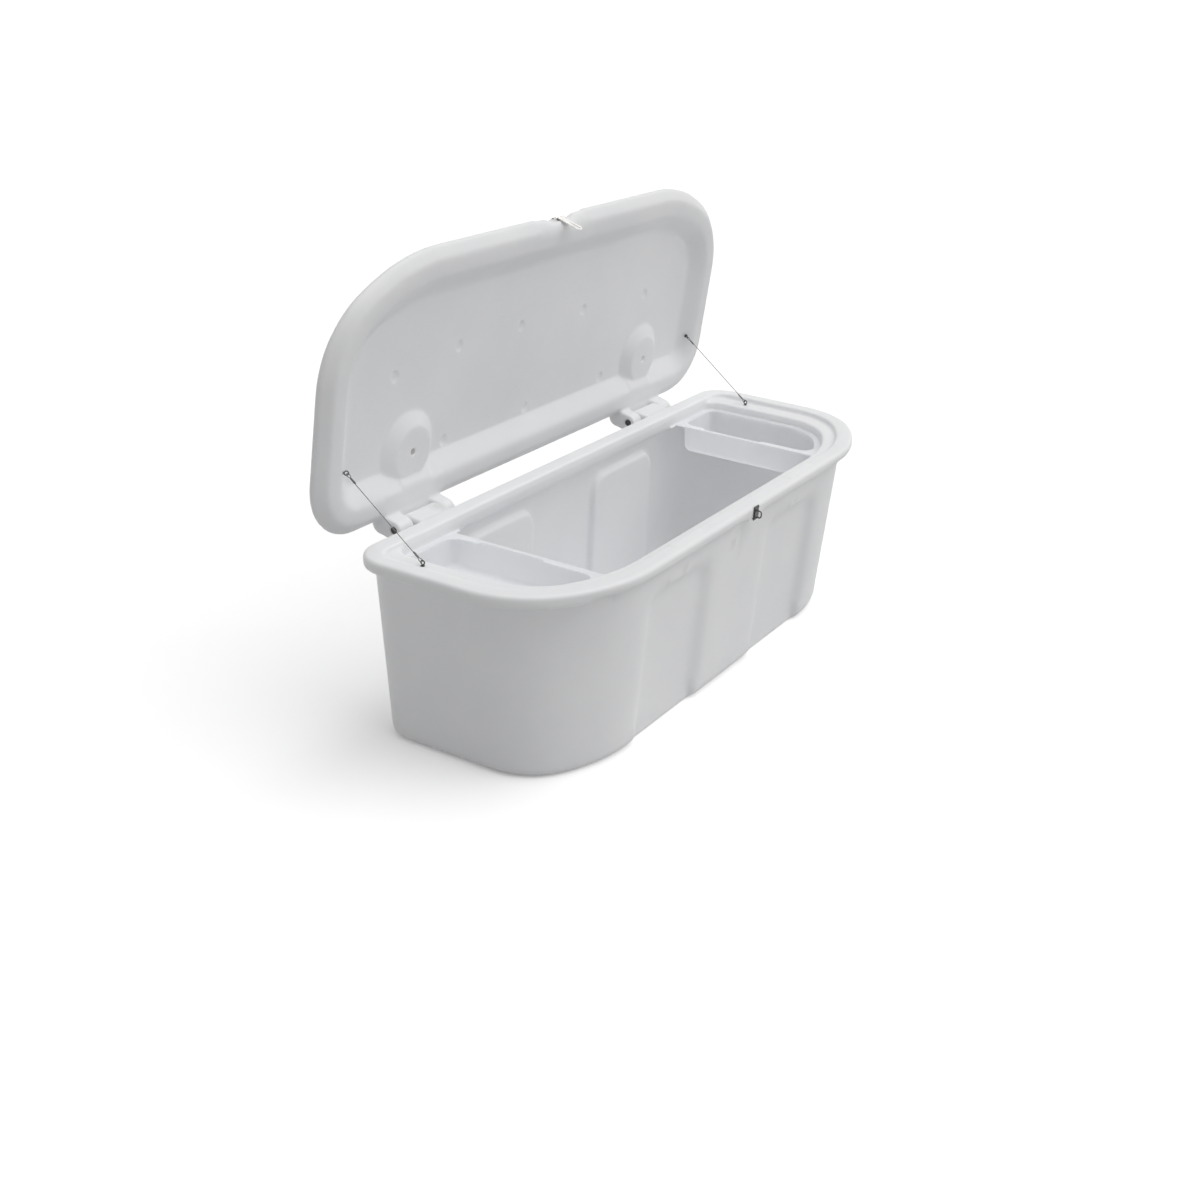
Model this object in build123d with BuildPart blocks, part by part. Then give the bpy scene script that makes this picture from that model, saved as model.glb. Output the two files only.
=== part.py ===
from build123d import *
from dataclasses import dataclass
from math import atan2, cos, degrees, hypot, radians, sin
import os

# A moulded dock box with a hinged lid held open, in millimetres.
# Origin: middle of the tub's flat base, on the ground. +X runs along the box, -Y is the front with
# the hasp, +Y is the hinge side and +Z is up. The lid is modelled in its open rest position.

# ---- Tub: overall sizes ----
tub_half_length = 875.0
tub_front = 320.0
tub_rear = 273.0
tub_height = 497.0
lip_height = 34.0
lip_overhang_end = 37.0
lip_overhang_front = 28.0
lip_overhang_rear = 5.0
base_taper_end = 63.0
base_taper_front = 27.0
base_taper_rear = 3.0
wall = 8.0
floor = 8.0
base_edge_radius = 26.0
lip_top_radius = 8.0
lip_bottom_radius = 7.0

# ---- Plan corners: run along X, depth along Y, radius at the end side, rear radius ----
rim_corner = (362.0, 273.0, 230.0, 87.0)
wall_corner = (340.0, 255.0, 215.0, 85.0)
base_corner = (294.0, 201.0, 165.0, 80.0)
seat_corner = (300.0, 200.0, 165.0, 42.0)
lid_corner = (373.0, 253.0, 212.0, 127.0)

# ---- Tub: opening, shelf and tray seat ----
rim_width = 48.0
rim_drop = 13.0
shelf_end = 57.0
shelf_front = 27.0
shelf_rear = 3.0
seat_depth = 24.0
seat_width = 12.0
seat_run_in = 20.0
seat_length = 250.0

# ---- Tub: pressed-in panels and pads ----
panel_start = 161.0
panel_end_margin = 43.0
panel_top_margin = 68.0
panel_depth = 18.0
panel_corner = 40.0
panel_draft = 18.0
panel_proud = 2.0
wall_dimples = [(-50, 63), (-305, 45), (-358, 82), (315, 55)]
wall_dimple_radius = 9.0
wall_dimple_depth = 3.0
pad_x = 308.0
pad_length = 135.0
pad_width = 25.0
pad_height = 2.0
pad_corner = 6.0

# ---- Hinges ----
hinge_reach = 43.0
hinge_drop = 23.0
open_angle = 83.6
barrel_radius = 24.0
barrel_from_end = 277.0
barrel_length = 116.0
knuckle_inner_width = 45.0
knuckle_outer_width = 55.0
knuckle_gap = 1.5
pin_radius = 10.0
pin_clearance = 0.06
pin_recess = 9.0
pin_chamfer = 0.8
cap_thickness = 4.0
web_rise = 16.0
web_fall = 22.0

# ---- Lid, in its closed position ----
lid_lift = 0.3
lid_inset_end = 4.0
lid_inset_front = 3.0
lid_overhang_rear = 7.0
lid_flare = 28.0
lid_flare_height = 24.0
lid_thickness = 42.0
lid_crown = 12.0
lid_crown_inset = 110.0
lid_top_radius = 15.0
lid_bottom_radius = 6.0
flange_width = 43.0
dish_skin = 5.0
dish_slope = 48.0
disc_x_offset = 6.0
disc_from_rear = 35.0
disc_base_radius = 100.0
disc_top_radius = 65.0
disc_height = 23.0
disc_hole_radius = 9.0
disc_hole_depth = 12.0
strap_shift = 6.5
strap_width = 113.0
strap_reach = 52.0
strap_lean = 45.0
strap_rise = 1.0
strap_bury = 8.0
dimple_radius = 15.0
dimple_depth = 5.0
front_dimples = [(-615, -45), (-366, -68), (-99, -66), (202, -53), (535, -38)]
rear_dimples_x = [-393, -35, 344]
rear_dimple_inset = 18.0
latch_notch_half = 50.0
latch_notch_depth = 14.0
latch_notch_draft = 20.0
lobe_top_radius = 26.0

# ---- Trays ----
tray_clearance = 3.0
tray_length = 219.0
tray_depth = 80.0
tray_wall = 4.0
tray_flange = 3.0
tray_flange_outer = 14.0
tray_flange_inner = 22.0
tray_bay_middle = 38.5
tray_bay_length = 187.0
tray_bay_flange = 12.0
tray_draft = 4.0
tray_corner = 34.0
tray_bay_corner = 10.0
tray_bay_block = 60.0
tray_ledge = 8.0
tray_bottom_radius = 18.0
seat_gap = 0.3

# ---- Hasp and swivel staple ----
hasp_pin_stand = 6.0
hasp_pin_rise = 27.7
hasp_pin_radius = 1.5
hasp_pin_clearance = 0.06
hasp_knuckle_radius = 3.0
hasp_lean = 10.8
leaf_length = 70.0
leaf_width = 25.0
leaf_thickness = 1.8
leaf_tip_radius = 12.0
leaf_slot_start = 31.0
leaf_slot_length = 36.0
leaf_slot_width = 7.0
hasp_base_width = 40.0
hasp_base_height = 26.0
hasp_screw_x = 16.0
hasp_screw_z = 8.0
leaf_knuckle_width = 15.6
hasp_knuckle_gap = 0.2
leaf_neck = 4.5
hasp_knuckle_end = 20.0
hasp_base_corner = 2.0
hasp_base_thickness = 1.8
staple_plate_width = 26.0
staple_plate_height = 36.0
staple_plate_thickness = 1.8
staple_plate_drop = 19.0
staple_screw_x = 9.5
staple_screw_z = 14.0
eye_drop = 22.0
eye_pitch = 18.0
eye_reach = 16.0
eye_wire = 3.5
eye_bend = 6.0
eye_boss_radius = 11.0
eye_boss_thickness = 1.6
eye_boss_gap = 0.1
eye_shank_radius = 3.0
eye_shank_length = 5.0
eye_shank_clearance = 0.06
screw_head_radius = 3.0
screw_head_height = 1.6
screw_shank_radius = 1.8
screw_length = 12.0
screw_clearance = 0.04
screw_dome = 1.2
screw_drive_length = 2.4
screw_drive_width = 0.7
screw_drive_depth = 0.9

# ---- Lid stays ----
stay_from_end = 75.0
stay_tub_from_rear = 155.5
stay_tub_rise = 8.5
stay_lid_from_rear = 136.4
stay_lid_rise = 8.2
stay_wire_radius = 1.0
stay_loop_radius = 5.0
stay_loop_seat = 2.2
eye_ring_radius = 5.0
eye_ring_wire = 1.5
eye_flange_radius = 5.0
eye_flange = 1.0
eye_screw_depth = 6.0
ferrule_radius = 2.8
ferrule_length = 16.0
ferrule_offset = 3.0


@dataclass(frozen=True)
class Outline:
    """A plan outline that is the same on both sides of X = 0."""

    half_length: float
    front: float
    rear: float
    corner_run: float
    corner_depth: float
    end_radius: float
    rear_radius: float

    def inset(self, by):
        """The same outline moved in by a distance, with its arcs kept concentric."""
        return Outline(
            self.half_length - by,
            self.front - by,
            self.rear - by,
            self.corner_run - by,
            self.corner_depth - by,
            self.end_radius - by,
            self.rear_radius - by,
        )

    def towards(self, other, share):
        """The outline part of the way to another one, as on a straight tapered wall."""
        pairs = zip(vars(self).values(), vars(other).values())
        return Outline(*[a + (b - a) * share for a, b in pairs])

    def sketch(self):
        """The closed face: straight sides, front corners of two tangent arcs, round rear corners."""
        run, depth, small = self.corner_run, self.corner_depth, self.end_radius
        large = (run**2 + depth**2 - 2 * run * small) / (2 * (depth - small))
        front_x = self.half_length - run
        rear_x = self.half_length - self.rear_radius
        small_centre = (self.half_length - small, depth - self.front)
        large_centre = (front_x, large - self.front)
        turn = degrees(atan2(run - small, large - depth))
        with BuildSketch(Plane.XY) as face:
            with BuildLine():
                CenterArc(large_centre, large, -90, turn)
                CenterArc(small_centre, small, turn - 90, 90 - turn)
                Line((self.half_length, depth - self.front), (self.half_length, self.rear - self.rear_radius))
                CenterArc((rear_x, self.rear - self.rear_radius), self.rear_radius, 0, 90)
                mirror(about=Plane.YZ)
                Line((-front_x, -self.front), (front_x, -self.front))
                Line((-rear_x, self.rear), (rear_x, self.rear))
            make_face()
        return face.sketch_local


def opened(x, y, z):
    """Where a point of the closed lid stands in the open rest position."""
    turn = radians(open_angle)
    out, up = y - hinge_y, z - hinge_z
    return Vector(
        x,
        hinge_y + out * cos(turn) + up * sin(turn),
        hinge_z - out * sin(turn) + up * cos(turn),
    )


def opened_direction(x, y, z):
    """A direction on the closed lid, turned to the open rest position."""
    return opened(x, y, z) - opened(0, 0, 0)


def lid_plane(closed_z):
    """A plane across the lid at one closed height, drawn on in closed X and Y."""
    return Plane(opened(0, 0, closed_z), x_dir=(1, 0, 0), z_dir=opened_direction(0, 0, 1))


def lid_side(x):
    """A plane across the lid at one X, drawn on in closed Y and Z."""
    return Plane(opened(x, 0, 0), x_dir=opened_direction(0, 1, 0), z_dir=(1, 0, 0))


def lid_front_plane(closed_y):
    """A plane facing the lid's front edge, drawn on in closed X and Z."""
    return Plane(opened(0, closed_y, 0), x_dir=(1, 0, 0), z_dir=opened_direction(0, -1, 0))


def save(part, name):
    """Label one finished piece and write its STEP file."""
    part.label = name
    export_step(part, f"parts/{name}.step")


# ---- Heights, places and outlines that follow from the sizes above ----
hinge_y = tub_rear + hinge_reach
hinge_z = tub_height - hinge_drop
barrel_end = tub_half_length - barrel_from_end
barrel_start = barrel_end - barrel_length
barrel_middle = (barrel_start + barrel_end) / 2
hinge_inner_end = barrel_start - knuckle_gap - knuckle_inner_width
hinge_outer_end = barrel_end + knuckle_gap + knuckle_outer_width
lip_z = tub_height - lip_height
shelf_z = tub_height - rim_drop
seat_z = shelf_z - seat_depth
seat_foot_z = seat_z - seat_run_in
rim = Outline(tub_half_length, tub_front, tub_rear, *rim_corner)
wall_top = Outline(
    tub_half_length - lip_overhang_end,
    tub_front - lip_overhang_front,
    tub_rear - lip_overhang_rear,
    *wall_corner,
)
base = Outline(
    wall_top.half_length - base_taper_end,
    wall_top.front - base_taper_front,
    wall_top.rear - base_taper_rear,
    *base_corner,
)
opening = rim.inset(rim_width)
seat_mouth = Outline(
    opening.half_length - shelf_end,
    opening.front - shelf_front,
    opening.rear - shelf_rear,
    *seat_corner,
)
lid_z = tub_height + pad_height + lid_lift
lid_edge = Outline(
    tub_half_length - lid_inset_end,
    tub_front - lid_inset_front,
    tub_rear + lid_overhang_rear,
    *lid_corner,
)
lid_wide = lid_edge.inset(-lid_flare)
dish_depth = lid_thickness - dish_skin
dish_mouth = lid_edge.inset(flange_width)
dish_ceiling = dish_mouth.inset(dish_slope)
lid_top_z = lid_z + lid_thickness
lid_edge_radius = min(lid_top_radius, lid_thickness - lid_flare_height - 1)
dish_z = lid_z + dish_depth
latch_floor_y = latch_notch_depth - lid_wide.front
hole_radius = pin_radius + pin_clearance
disc_x = barrel_middle + disc_x_offset
disc_y = dish_ceiling.rear - disc_from_rear
strap_middle = barrel_middle - strap_shift
strap_start = strap_middle - strap_width / 2
strap_front = dish_mouth.rear - strap_reach
rear_dimples = [(x, dish_ceiling.rear - rear_dimple_inset) for x in rear_dimples_x]
panel_end = wall_top.half_length - wall_top.corner_run - panel_end_margin
panel_height = lip_z - panel_top_margin
tray_inner = seat_mouth.half_length - tray_clearance - tray_length
staple_plate_z = tub_height - staple_plate_drop
eye_z = tub_height - eye_drop
hasp_pin_y = latch_floor_y - hasp_pin_stand
hasp_pin_z = lid_z + hasp_pin_rise
stay_x = tub_half_length - stay_from_end
stay_tub_y = tub_rear - stay_tub_from_rear
stay_lid_y = tub_rear - stay_lid_from_rear
dish_wall_lean = hypot(dish_depth, dish_slope)
stay_from_mouth = dish_mouth.half_length - stay_x
stay_lid_z = lid_z + (stay_from_mouth * dish_depth - stay_lid_rise * dish_wall_lean) / dish_slope
os.makedirs("parts", exist_ok=True)


def wall_plane(side):
    """The outer face of the front (-1) or rear (+1) wall, with local Y running up it."""
    low = base.front if side < 0 else base.rear
    high = wall_top.front if side < 0 else wall_top.rear
    slope = Vector(0, side * (high - low), lip_z).normalized()
    return Plane((0, side * low, 0), x_dir=(-side, 0, 0), z_dir=Vector(-side, 0, 0).cross(slope))


def panel_profile(grow):
    """The upright panel with round top corners, on both sides of the middle."""
    length = panel_end - panel_start + 2 * grow
    height = panel_height + 2 * grow
    with BuildSketch(Plane.XY) as profile:
        for side in (-1, 1):
            with Locations((side * (panel_start + panel_end) / 2, panel_height / 2)):
                Rectangle(length, height)
        top = profile.vertices().group_by(Axis.Y)[-1]
        fillet(top, panel_corner + grow)
    return profile.sketch_local


def pin_circle(radius):
    """A circle on the hinge axis, for a plane drawn on in Y and Z."""
    with BuildSketch(Plane.XY) as circle:
        with Locations((hinge_y, hinge_z)):
            Circle(radius)
    return circle.sketch_local


def lobe_profile():
    """A hinge lobe of the lid, drawn in Y and Z: round about the pin, and round again at the lid's top."""
    with BuildSketch(Plane.XY) as lobe:
        add(pin_circle(barrel_radius))
        with Locations((hinge_y + barrel_radius - lobe_top_radius, lid_top_z - lobe_top_radius)):
            Circle(lobe_top_radius)
        make_hull()
    return lobe.sketch_local


# ---- Lip: the thick rounded band round the tub's mouth ----
with BuildPart() as lip:
    with BuildSketch(Plane.XY.offset(lip_z)):
        add(rim.sketch())
    extrude(amount=lip_height)
    fillet(lip.edges().group_by(Axis.Z)[-1], lip_top_radius)
    fillet(lip.edges().group_by(Axis.Z)[0], lip_bottom_radius)

# ---- Hollow: everything that is open inside the tub ----
with BuildPart() as hollow:
    inner_foot = base.towards(wall_top, floor / lip_z).inset(wall)
    inner_shoulder = base.towards(wall_top, seat_foot_z / lip_z).inset(wall)
    with BuildSketch(Plane.XY.offset(floor)):
        add(inner_foot.sketch())
    with BuildSketch(Plane.XY.offset(seat_foot_z)):
        add(inner_shoulder.sketch())
    loft(ruled=True)
    fillet(hollow.edges().group_by(Axis.Z)[0], base_edge_radius - wall)
    with BuildSketch(Plane.XY.offset(seat_foot_z)):
        add(inner_shoulder.sketch())
    with BuildSketch(Plane.XY.offset(seat_z)):
        add(seat_mouth.inset(seat_width).sketch())
    loft(ruled=True)
    with BuildSketch(Plane.XY.offset(seat_foot_z)):
        with Locations((0, (seat_mouth.rear - seat_mouth.front) / 2)):
            Rectangle(2 * (seat_mouth.half_length - seat_length), seat_mouth.rear + seat_mouth.front)
    extrude(amount=seat_run_in)
    with BuildSketch(Plane.XY.offset(seat_z)):
        add(seat_mouth.sketch())
    extrude(amount=seat_depth)
    with BuildSketch(Plane.XY.offset(shelf_z)):
        add(opening.sketch())
    extrude(amount=rim_drop)
    for side in (-1, 1):
        with BuildSketch(wall_plane(side)):
            add(panel_profile(wall))
        extrude(amount=-(panel_depth + wall), mode=Mode.SUBTRACT)

# ---- Lid stays: where the two wires are held, and how they pull ----
stay_tub_ring = Vector(stay_x, stay_tub_y, shelf_z + stay_tub_rise)
stay_lid_ring = opened(stay_x, stay_lid_y, stay_lid_z)
stay_pull = (stay_lid_ring - stay_tub_ring).normalized()


def eye_screw_plane(ring_centre, shank, pull):
    """The plane of an eye screw's ring: local X points down the shank, and the pull lies in the plane."""
    return Plane(ring_centre, x_dir=shank, z_dir=shank.cross(pull))


def shank_plane(ring_centre, shank, distance):
    """A plane across an eye screw's shank, this far from the ring's centre."""
    return Plane(ring_centre + shank * distance, z_dir=shank)


def lid_shank(side):
    """The way an eye screw goes into the sloping end wall of the lid's dish."""
    return opened_direction(side * dish_depth, 0, dish_slope).normalized()


def on_side(point, side):
    """The point, or its mirror image, on the left (-1) or right (+1) half."""
    return Vector(side * point.X, point.Y, point.Z)


# ---- Tub ----
with BuildPart() as tub:
    with BuildSketch(Plane.XY):
        add(base.sketch())
    with BuildSketch(Plane.XY.offset(lip_z)):
        add(wall_top.sketch())
    loft(ruled=True)
    fillet(tub.edges().group_by(Axis.Z)[0], base_edge_radius)
    add(lip.part)
    add(hollow.part, mode=Mode.SUBTRACT)
    for side in (-1, 1):
        with BuildSketch(wall_plane(side).offset(panel_proud)):
            add(panel_profile(0))
        extrude(amount=-(panel_depth + panel_proud), taper=panel_draft, mode=Mode.SUBTRACT)
    for side in (-1, 1):
        with BuildSketch(Plane.XY.offset(tub_height)):
            with Locations((side * pad_x, pad_width / 2 - opening.front - pad_width)):
                RectangleRounded(pad_length, pad_width, pad_corner)
        extrude(amount=pad_height)
    for side in (-1, 1):
        with BuildSketch(Plane.YZ.offset(side * barrel_start)):
            add(pin_circle(barrel_radius))
            with Locations((wall_top.rear, hinge_z + (web_rise - web_fall) / 2)):
                Rectangle(2 * lip_overhang_rear, web_rise + web_fall)
            make_hull()
            add(pin_circle(hole_radius), mode=Mode.SUBTRACT)
        extrude(amount=side * barrel_length)
    for side in (-1, 1):
        centre = on_side(stay_tub_ring, side)
        with BuildSketch(shank_plane(centre, Vector(0, 0, -1), stay_tub_rise)):
            Circle(eye_ring_wire + screw_clearance)
        extrude(amount=eye_screw_depth + screw_clearance, mode=Mode.SUBTRACT)
    with BuildSketch(Plane.XZ.offset(tub_front)):
        with Locations((0, staple_plate_z)):
            with GridLocations(2 * staple_screw_x, 2 * staple_screw_z, 2, 2):
                Circle(screw_shank_radius + screw_clearance)
    extrude(amount=-screw_length, mode=Mode.SUBTRACT)
    with BuildSketch(Plane.XZ.offset(tub_front)):
        with Locations((0, eye_z)):
            Circle(eye_shank_radius + eye_shank_clearance)
    extrude(amount=-eye_shank_length, mode=Mode.SUBTRACT)
    with BuildSketch(wall_plane(-1)):
        with Locations(*[(x, lip_z - drop) for x, drop in wall_dimples]):
            Circle(wall_dimple_radius)
    extrude(amount=-wall_dimple_depth, taper=45, mode=Mode.SUBTRACT)
save(tub.part, "tub")

# ---- Lid ----
with BuildPart() as lid:
    with BuildSketch(lid_plane(lid_z)):
        add(lid_edge.sketch())
    with BuildSketch(lid_plane(lid_z + lid_flare_height)):
        add(lid_wide.sketch())
    loft(ruled=True)
    with BuildSketch(lid_plane(lid_z + lid_flare_height)):
        add(lid_wide.sketch())
    extrude(amount=lid_thickness - lid_flare_height)
    lid_up = Axis(opened(0, 0, 0), opened_direction(0, 0, 1))
    fillet(lid.edges().group_by(lid_up)[-1], lid_edge_radius)
    fillet(lid.edges().group_by(lid_up)[0], lid_bottom_radius)
    with BuildSketch(lid_plane(lid_top_z)):
        add(lid_wide.inset(lid_edge_radius).sketch())
    with BuildSketch(lid_plane(lid_top_z + lid_crown)):
        add(lid_edge.inset(lid_crown_inset).sketch())
    loft(ruled=True)
    with BuildSketch(lid_plane(lid_z)):
        add(dish_mouth.sketch())
    with BuildSketch(lid_plane(dish_z)):
        add(dish_ceiling.sketch())
    loft(ruled=True, mode=Mode.SUBTRACT)
    for side in (-1, 1):
        with BuildSketch(lid_plane(dish_z)):
            with Locations((side * disc_x, disc_y)):
                Circle(disc_base_radius)
        with BuildSketch(lid_plane(dish_z - disc_height)):
            with Locations((side * disc_x, disc_y)):
                Circle(disc_top_radius)
        loft(ruled=True)
        with BuildSketch(lid_side(side * strap_start)):
            with BuildLine():
                Polyline(
                    (strap_front, dish_z),
                    (strap_front + strap_lean, lid_z + strap_rise),
                    (dish_mouth.rear + strap_bury, lid_z + strap_rise),
                    (dish_mouth.rear + strap_bury, dish_z),
                    close=True,
                )
            make_face()
        extrude(amount=side * strap_width)
        with BuildSketch(lid_plane(dish_z - disc_height)):
            with Locations((side * disc_x, disc_y)):
                Circle(disc_hole_radius)
        extrude(amount=disc_hole_depth, mode=Mode.SUBTRACT)
    for side in (-1, 1):
        with BuildSketch(lid_side(side * hinge_inner_end)):
            add(lobe_profile())
        extrude(amount=side * (hinge_outer_end - hinge_inner_end))
        with BuildSketch(lid_side(side * (barrel_start - knuckle_gap))):
            with Locations((hinge_y, lid_z - lid_thickness)):
                Rectangle(2 * lid_thickness, 2 * lid_thickness)
        extrude(amount=side * (barrel_length + 2 * knuckle_gap), mode=Mode.SUBTRACT)
        with BuildSketch(lid_side(side * hinge_inner_end)):
            add(pin_circle(hole_radius))
        extrude(amount=side * (hinge_outer_end - hinge_inner_end), mode=Mode.SUBTRACT)
    with BuildSketch(lid_front_plane(latch_floor_y)):
        with Locations((0, lid_z + lid_thickness / 2)):
            Rectangle(2 * latch_notch_half, 2 * lid_thickness)
    extrude(amount=lid_flare, taper=-latch_notch_draft, mode=Mode.SUBTRACT)
    with BuildSketch(lid_plane(dish_z)):
        with Locations(*front_dimples, *rear_dimples):
            Circle(dimple_radius)
    extrude(amount=dimple_depth, taper=45, mode=Mode.SUBTRACT)
    with BuildSketch(lid_front_plane(latch_floor_y)):
        with Locations((0, hasp_pin_z)):
            with GridLocations(2 * hasp_screw_x, 2 * hasp_screw_z, 2, 2):
                Circle(screw_shank_radius + screw_clearance)
    extrude(amount=-screw_length, mode=Mode.SUBTRACT)
    for side in (-1, 1):
        with BuildSketch(shank_plane(on_side(stay_lid_ring, side), lid_shank(side), stay_lid_rise)):
            Circle(eye_ring_wire + screw_clearance)
        extrude(amount=eye_screw_depth + screw_clearance, mode=Mode.SUBTRACT)
save(lid.part, "lid")


def tray_outline(inset, edge):
    """A D-shaped outline: the seat's outline moved in, cut off along the tray's inner edge."""
    with BuildSketch(Plane.XY) as profile:
        add(seat_mouth.inset(tray_clearance + inset).sketch())
        with Locations((edge + tub_half_length / 2, 0)):
            Rectangle(tub_half_length, 2 * tub_half_length, mode=Mode.INTERSECT)
    return profile.sketch_local


def tray_bin(wall_inset, depth):
    """The tray's tapered bin below its flange, moved in by a wall."""
    with BuildPart() as whole:
        with BuildSketch(Plane.XY.offset(tray_rim_z)) as plan:
            add(tray_outline(tray_flange_outer + wall_inset, tray_inner + tray_ledge + wall_inset))
            fillet(plan.vertices().group_by(Axis.X)[0], tray_corner - wall_inset)
        extrude(amount=-depth, taper=tray_draft)
        fillet(whole.edges().group_by(Axis.Z)[0], tray_bottom_radius - wall_inset)
    return whole.part


def tray_mouth():
    """The opening in the tray's flange: a D shape with a bay in the middle of its inner edge."""
    with BuildSketch(Plane.XY) as mouth:
        add(tray_outline(tray_flange_outer + tray_wall, tray_inner + tray_flange_inner))
        fillet(mouth.vertices().group_by(Axis.X)[0], tray_corner)
        with Locations((tray_inner + tray_bay_flange + tray_bay_block / 2, tray_bay_middle)):
            RectangleRounded(tray_bay_block, tray_bay_length, tray_bay_corner)
    return mouth.sketch_local


# ---- Trays: D-shaped bins hung by their flanges on the seat ----
tray_rim_z = seat_z + seat_gap
with BuildPart() as tray_right:
    add(tray_bin(0, tray_depth - tray_flange))
    with BuildSketch(Plane.XY.offset(tray_rim_z)):
        add(tray_outline(0, tray_inner))
    extrude(amount=tray_flange)
    add(tray_bin(tray_wall, tray_depth - tray_flange - tray_wall), mode=Mode.SUBTRACT)
    with BuildSketch(Plane.XY.offset(tray_rim_z)):
        add(tray_mouth())
    extrude(amount=tray_flange, mode=Mode.SUBTRACT)
save(tray_right.part, "tray_right")
with BuildPart() as tray_left:
    mirror(tray_right.part, about=Plane.YZ)
save(tray_left.part, "tray_left")

# ---- Hinge pins and the caps that close their holes ----
for side, name in ((-1, "left"), (1, "right")):
    with BuildPart() as hinge_pin:
        with BuildSketch(Plane.YZ.offset(side * (hinge_inner_end + pin_recess))):
            add(pin_circle(pin_radius))
        extrude(amount=side * (hinge_outer_end - hinge_inner_end - 2 * pin_recess))
        chamfer(hinge_pin.edges().filter_by(GeomType.CIRCLE), pin_chamfer)
    save(hinge_pin.part, f"hinge_pin_{name}")
    with BuildPart() as pin_caps:
        for start in (hinge_inner_end + pin_recess - cap_thickness, hinge_outer_end - pin_recess):
            with BuildSketch(Plane.YZ.offset(side * start)):
                add(pin_circle(pin_radius))
            extrude(amount=side * cap_thickness)
    save(pin_caps.part, f"pin_caps_{name}")


def screw_group(plane, spacing_x, spacing_y):
    """Four pan-head screws at the corners of a rectangle: domed heads above the plane, shanks below."""
    with BuildPart() as group:
        with BuildSketch(plane):
            with GridLocations(spacing_x, spacing_y, 2, 2):
                Circle(screw_head_radius)
        extrude(amount=screw_head_height)
        head_edges = group.edges().filter_by(GeomType.CIRCLE)
        fillet(head_edges.group_by(Axis(plane.origin, plane.z_dir))[-1], screw_dome)
        with BuildSketch(plane.offset(screw_head_height)):
            with GridLocations(spacing_x, spacing_y, 2, 2):
                SlotCenterToCenter(screw_drive_length, screw_drive_width)
                SlotCenterToCenter(screw_drive_length, screw_drive_width, rotation=90)
        extrude(amount=-screw_drive_depth, mode=Mode.SUBTRACT)
        with BuildSketch(plane):
            with GridLocations(spacing_x, spacing_y, 2, 2):
                Circle(screw_shank_radius)
        extrude(amount=screw_clearance - screw_length)
    return group.part


# ---- Hasp: a base plate on the lid's front edge and a slotted leaf on its pin ----
hasp_face_y = latch_floor_y - hasp_base_thickness
knuckle_inner = leaf_knuckle_width / 2 + hasp_knuckle_gap
with BuildPart() as hasp_base:
    with BuildSketch(lid_front_plane(latch_floor_y)):
        with Locations((0, hasp_pin_z)):
            RectangleRounded(hasp_base_width, hasp_base_height, hasp_base_corner)
            with GridLocations(2 * hasp_screw_x, 2 * hasp_screw_z, 2, 2):
                Circle(screw_shank_radius + screw_clearance, mode=Mode.SUBTRACT)
    extrude(amount=hasp_base_thickness)
    for side in (-1, 1):
        with BuildSketch(lid_side(side * knuckle_inner)):
            with Locations((hasp_pin_y, hasp_pin_z)):
                Circle(hasp_knuckle_radius)
            with Locations((hasp_face_y, hasp_pin_z)):
                Rectangle(hasp_base_thickness, 2 * hasp_knuckle_radius)
            make_hull()
            with Locations((hasp_pin_y, hasp_pin_z)):
                Circle(hasp_pin_radius + hasp_pin_clearance, mode=Mode.SUBTRACT)
        extrude(amount=side * (hasp_knuckle_end - knuckle_inner))
save(hasp_base.part, "hasp_base")

with BuildPart() as hasp_pin:
    with BuildSketch(lid_side(-hasp_knuckle_end)):
        with Locations((hasp_pin_y, hasp_pin_z)):
            Circle(hasp_pin_radius)
    extrude(amount=2 * hasp_knuckle_end)
save(hasp_pin.part, "hasp_pin")

leaf_down = opened_direction(0, sin(radians(hasp_lean)), -cos(radians(hasp_lean)))
leaf_face = Plane(
    opened(0, hasp_pin_y, hasp_pin_z),
    x_dir=(1, 0, 0),
    z_dir=Vector(1, 0, 0).cross(leaf_down),
)
with BuildPart() as hasp_leaf:
    with BuildSketch(leaf_face) as leaf_plan:
        with Locations((0, (leaf_neck + leaf_length) / 2)):
            Rectangle(leaf_width, leaf_length - leaf_neck)
        fillet(leaf_plan.vertices().group_by(Axis.Y)[-1], leaf_tip_radius)
        with Locations((0, leaf_neck / 2)):
            Rectangle(leaf_knuckle_width, leaf_neck)
        with Locations((0, leaf_slot_start + leaf_slot_length / 2)):
            SlotOverall(leaf_slot_length, leaf_slot_width, rotation=90, mode=Mode.SUBTRACT)
    extrude(amount=leaf_thickness / 2, both=True)
    with BuildSketch(lid_side(-leaf_knuckle_width / 2)):
        with Locations((hasp_pin_y, hasp_pin_z)):
            Circle(hasp_knuckle_radius)
    extrude(amount=leaf_knuckle_width)
    with BuildSketch(lid_side(-leaf_knuckle_width / 2)):
        with Locations((hasp_pin_y, hasp_pin_z)):
            Circle(hasp_pin_radius + hasp_pin_clearance)
    extrude(amount=leaf_knuckle_width, mode=Mode.SUBTRACT)
save(hasp_leaf.part, "hasp_leaf")

hasp_screw_plane = lid_front_plane(hasp_face_y)
hasp_screw_plane.origin = opened(0, hasp_face_y, hasp_pin_z)
hasp_screws = screw_group(hasp_screw_plane, 2 * hasp_screw_x, 2 * hasp_screw_z)
save(hasp_screws, "hasp_screws")

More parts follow.
